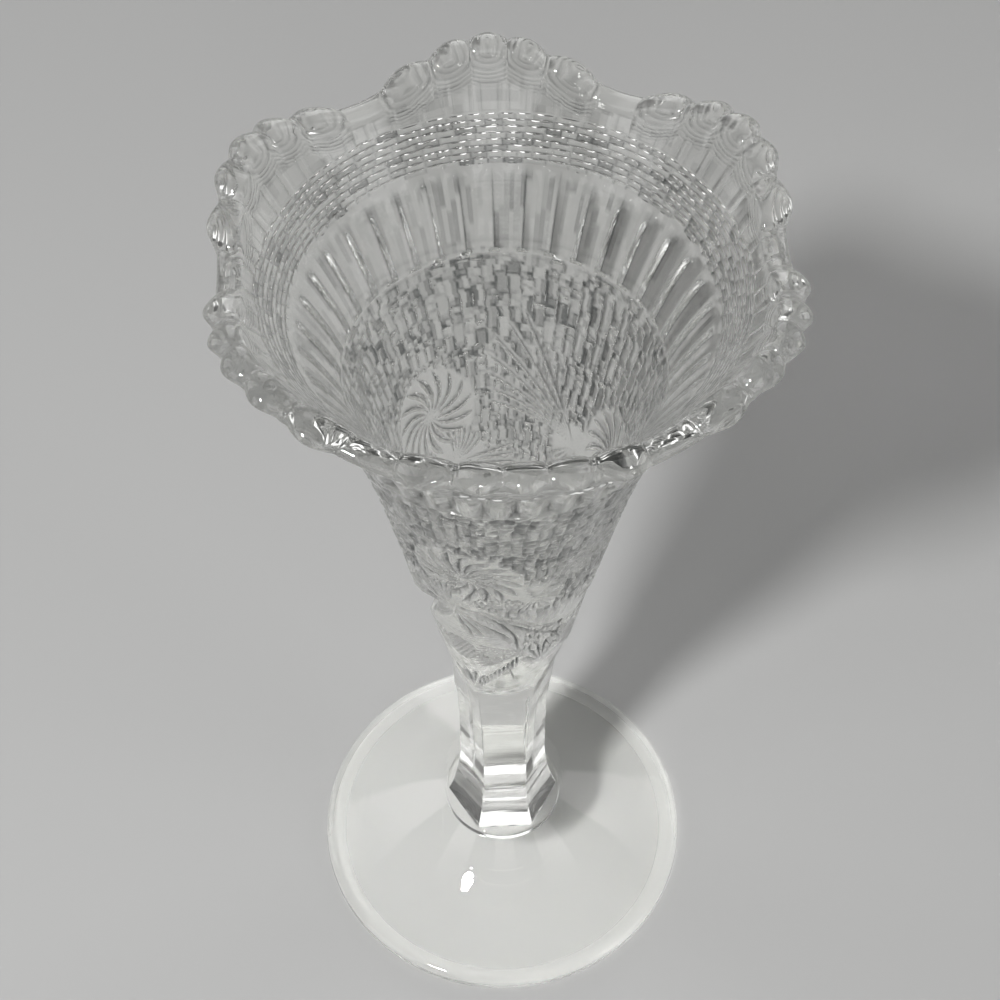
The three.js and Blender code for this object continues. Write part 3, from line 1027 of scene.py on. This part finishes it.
def flutes(azimuth, height):
    """Rounded ribs: the sine of half a turn across each rib, less its crest. Each has six streaks
    of painted shade, broken at uneven heights, lighter or darker at random."""
    across = (azimuth * FLUTES / TURN) % 1
    ends = smooth((height - SEAM) / FLUTE_START) * smooth((FLUTE_TOP - height) / FLUTE_END)
    streak = (azimuth * FLUTES * FLUTE_STREAKS / TURN).astype(int) % (FLUTES * FLUTE_STREAKS)
    part = (height - SEAM) / STREAK_TALL + painted_streak_shades[0, streak]
    part = np.clip(part, 0, STREAK_ROWS - 1).astype(int)
    painted_shade = FLUTE_SHADE * painted_streak_shades[part, streak] ** 2 * ends
    return FLUTE_DEPTH * (np.sin(across * math.pi) - 1) * ends, painted_shade


def bricks(azimuth, height):
    """Small cushions in staggered rows: a sine across times a sine up, each to a power below 1 that
    squares them. A slow sine along each row makes their lengths uneven, and a table of seeded
    random numbers gives each its height and its painted shade."""
    row = (height - FLUTE_TOP) / BRICK_HEIGHT
    number = np.clip(np.floor(row).astype(int), 0, BRICK_ROWS - 1)
    sway = BRICK_SWAY * np.sin(BRICK_WAVES * azimuth + brick_own[number, 0] * TURN)
    turn = azimuth * BRICKS_AROUND / TURN + number % 2 / 2 + sway
    own = brick_own[number, np.floor(turn).astype(int) % BRICKS_AROUND]
    cushion = np.sin((turn % 1) * math.pi) ** BRICK_SQUARENESS
    cushion = cushion * np.sin((row % 1) * math.pi) ** BRICK_SQUARENESS
    inside = (row > 0) & (row < BRICK_ROWS)
    cushion = cushion * (LOWEST_BRICK + BRICK_RANGE * own)
    return BRICK_DEPTH * np.where(inside, cushion, 0), BRICK_SHADE * own**3 * inside


def panels(azimuth, height):
    """Faint upright panels, pressed in with soft edges, in patches of painted shade, lighter or
    darker at random.
    """
    across = np.abs((azimuth * PANELS / TURN) % 1 - 0.5) * 2
    up = smooth((height - BRICK_TOP) / PANEL_ENDS[0]) * smooth((PANEL_TOP - height) / PANEL_ENDS[1])
    patch = (azimuth * PANELS * 2 / TURN).astype(int) % (PANELS * 2)
    level = PATCH_ROWS * (height - BRICK_TOP) / (PANEL_TOP - BRICK_TOP)
    level = np.clip(level, 0, PATCH_ROWS - 1).astype(int)
    painted_shade = PANEL_SHADE * painted_panel_shades[level, patch] ** 2 * up
    return -PANEL_DEPTH * smooth((PANEL_SHARE - across) / PANEL_SIDE) * up, painted_shade


# %% [markdown]
# The top of the wall is round, as the fire leaves it. It is half an ellipse, carried over from the
# outside to the inside, and it takes the lobes and the beads as the rest does.

# %% Make the upper bowl
UPPER_COLUMNS = 1080


def crest(azimuth):
    """The round top of the wall: a half ellipse from the outer edge over to the inner one."""
    outer = outer_radius(EDGE)
    inner = inner_radius(EDGE)
    over = half_circle(((outer + inner) / 2, EDGE), (outer - inner) / 2, WALL / 2, 0, 180,
                       count=15)[1:-1]
    outside = np.clip(1 - (outer_radius(over[:, 1]) - over[:, 0]) / WALL, 0, 1)
    flat = np.ones(len(azimuth))
    return shaped(azimuth, over[:, :1] * flat, over[:, 1:] * flat, outside[:, None])


def upper_relief(azimuth, heights):
    ribs, rib_shade = flutes(azimuth, heights)
    cushions, cushion_shade = bricks(azimuth, heights)
    faces, face_shade = panels(azimuth, heights)
    return ribs + cushions + faces, rib_shade + cushion_shade + face_shade


band_rings = spans((SEAM, 0), (149.5 * MM, 0.4 * MM), (FLUTE_TOP, 0.8 * MM),
                   (BRICK_TOP, BRICK_HEIGHT / 6))
band = make_hoop("bowl_band", UPPER_COLUMNS, band_rings,
                 spans((SEAM, 0), (BRICK_TOP, 1.6 * MM)), upper_relief, (2, 1))
finish_piece(band, "bowl")
rim_rings = spans((BRICK_TOP, 0), (170.5 * MM, 0.2 * MM), (EDGE, 0.1 * MM))
rim = make_hoop("bowl_rim", UPPER_COLUMNS, rim_rings, spans((BRICK_TOP, 0), (EDGE, 1.6 * MM)),
                upper_relief, (2, 1), over=crest)
finish_piece(rim, "bowl")

# %% [markdown]
# ## Floor, light and camera
#
# The vase stands on a plain pale floor, just under its resting ring, so that the two don't share
# a face. The floor also shows through the glass.

# %% Lay the floor
FLOOR_HALF = 20.0
FLOOR_GAP = 0.03 * MM
FLOOR_GREY = 0.5


def make_floor():
    h = FLOOR_HALF
    mesh = bpy.data.meshes.new("floor")
    mesh.from_pydata([(-h, -h, -FLOOR_GAP), (h, -h, -FLOOR_GAP), (h, h, -FLOOR_GAP),
                      (-h, h, -FLOOR_GAP)], [], [(0, 1, 2, 3)])
    mesh.materials.append(plain_material("pale_floor", {
        "Base Color": (FLOOR_GREY, FLOOR_GREY, FLOOR_GREY * 0.99, 1), "Roughness": 0.8,
        "Specular IOR Level": 0.2}))
    floor = add_object("floor", mesh)
    print(f"a floor {2 * h:.0f} m across, {FLOOR_GAP / MM:.2f} mm under the foot")


make_floor()

# %% [markdown]
# Glass only shows by what it bends and mirrors. So the room is a soft studio: a dim shell with six
# tall soft windows, which draw bright edges beside dark ones, and one round key lamp at the front
# left.

# %% Light the room
WINDOWS = 6
WINDOW_LIGHT = 1.5
ROOM_LIGHT = 0.12
WINDOW_SIDES = (-0.1, 0.3)
WINDOW_SILL = (0.02, 0.12)
WINDOW_HEAD = (0.5, 0.85)


def soft_step(tree, value, ends):
    """0 below the first end, 1 above the second, and an S-shaped curve between them."""
    return add_node(tree, "ShaderNodeMapRange", {"interpolation_type": "SMOOTHSTEP"}, {
        "Value": value, "From Min": ends[0], "From Max": ends[1]})


def light_room():
    """World light by direction: a dim room with tall windows, where the cosine of six turns is
    low, between two heights."""
    world = bpy.data.worlds.new("room")
    bpy.context.scene.world = world
    world.use_nodes = True
    tree = world.node_tree
    tree.nodes.clear()
    toward = add_node(tree, "ShaderNodeTexCoord", {}, {}, output="Generated")
    x, y, z = [add_node(tree, "ShaderNodeSeparateXYZ", {}, {"Vector": toward}, output=axis)
               for axis in "XYZ"]
    turn = add_node(tree, "ShaderNodeMath", {"operation": "ARCTAN2"}, {0: y, 1: x})
    wave = add_node(tree, "ShaderNodeMath", {"operation": "COSINE"}, {0: WINDOWS * turn})
    windows = soft_step(tree, -1 * wave, WINDOW_SIDES) * soft_step(tree, z, WINDOW_SILL)
    windows = windows * (1 - soft_step(tree, z, WINDOW_HEAD))
    level = ROOM_LIGHT + (WINDOW_LIGHT - ROOM_LIGHT) * windows
    background = add_node(tree, "ShaderNodeBackground", {}, {
        "Color": (1, 1, 1, 1), "Strength": level})
    output = tree.nodes.new("ShaderNodeOutputWorld")
    tree.links.new(background.socket, output.inputs["Surface"])
    print(f"{WINDOWS} windows at {WINDOW_LIGHT}, in a room at {ROOM_LIGHT}")


def round_lamp(name, azimuth, elevation, distance, width, power):
    """A flat round lamp that faces the vase from a direction given in degrees."""
    lamp = bpy.data.lights.new(name, "AREA")
    lamp.shape = "DISK"
    lamp.size = width
    lamp.energy = power
    box = add_object(name, lamp)
    a, e = math.radians(azimuth), math.radians(elevation)
    away = Vector((math.cos(a) * math.cos(e), math.sin(a) * math.cos(e), math.sin(e)))
    box.location = away * distance + Vector((0, 0, RIM_TOP / 2))
    box.rotation_euler = away.to_track_quat("Z", "Y").to_euler()
    print(f"{name} lamp, {width} m across, {box.location.z:.2f} m above the floor")


light_room()
round_lamp("key", azimuth=-130, elevation=50, distance=1.1, width=0.14, power=9.0)

# %% [markdown]
# The camera looks down into the mouth from the front. Its place, turn and focal length come from
# matching the foot's and the rim's outlines, and its axes are built from the turn and the pitch.

# %% Place the camera
CAMERA_PLACE = Vector((-12.0, -182.4, 360.6)) * MM
CAMERA_TURN = math.radians(3.574)
CAMERA_PITCH = math.radians(53.2)
CAMERA_ROLL = math.radians(-0.11)
LENS = 66.61
SENSOR = 36.0


def place_camera():
    camera = bpy.data.cameras.new("camera")
    camera.sensor_width = SENSOR
    camera.lens = LENS
    camera.clip_start = 0.01
    view = add_object("camera", camera)
    level = math.cos(CAMERA_PITCH)
    ahead = Vector((math.sin(CAMERA_TURN) * level, math.cos(CAMERA_TURN) * level,
                    -math.sin(CAMERA_PITCH)))
    right = Vector((math.cos(CAMERA_TURN), -math.sin(CAMERA_TURN), 0))
    up = right.cross(ahead)
    turned = right * math.cos(CAMERA_ROLL) - up * math.sin(CAMERA_ROLL)
    axes = Matrix((turned, turned.cross(ahead), -ahead)).transposed()
    view.matrix_world = Matrix.Translation(CAMERA_PLACE) @ axes.to_4x4()
    bpy.context.scene.camera = view
    print(f"camera {CAMERA_PLACE.z:.3f} m above the floor, lens {LENS} mm")


place_camera()

# %% [markdown]
# Light crosses many surfaces on its way through a bowl of glass, so paths are let run long
# enough, and the clear joint faces don't use them up.

# %% Let light pass through the glass
scene = bpy.context.scene
scene.cycles.blur_glossy = 0.25
scene.cycles.max_bounces = 20
scene.cycles.transmission_bounces = 20
scene.cycles.glossy_bounces = 12
scene.cycles.transparent_max_bounces = 32
scene.view_settings.view_transform = "Standard"
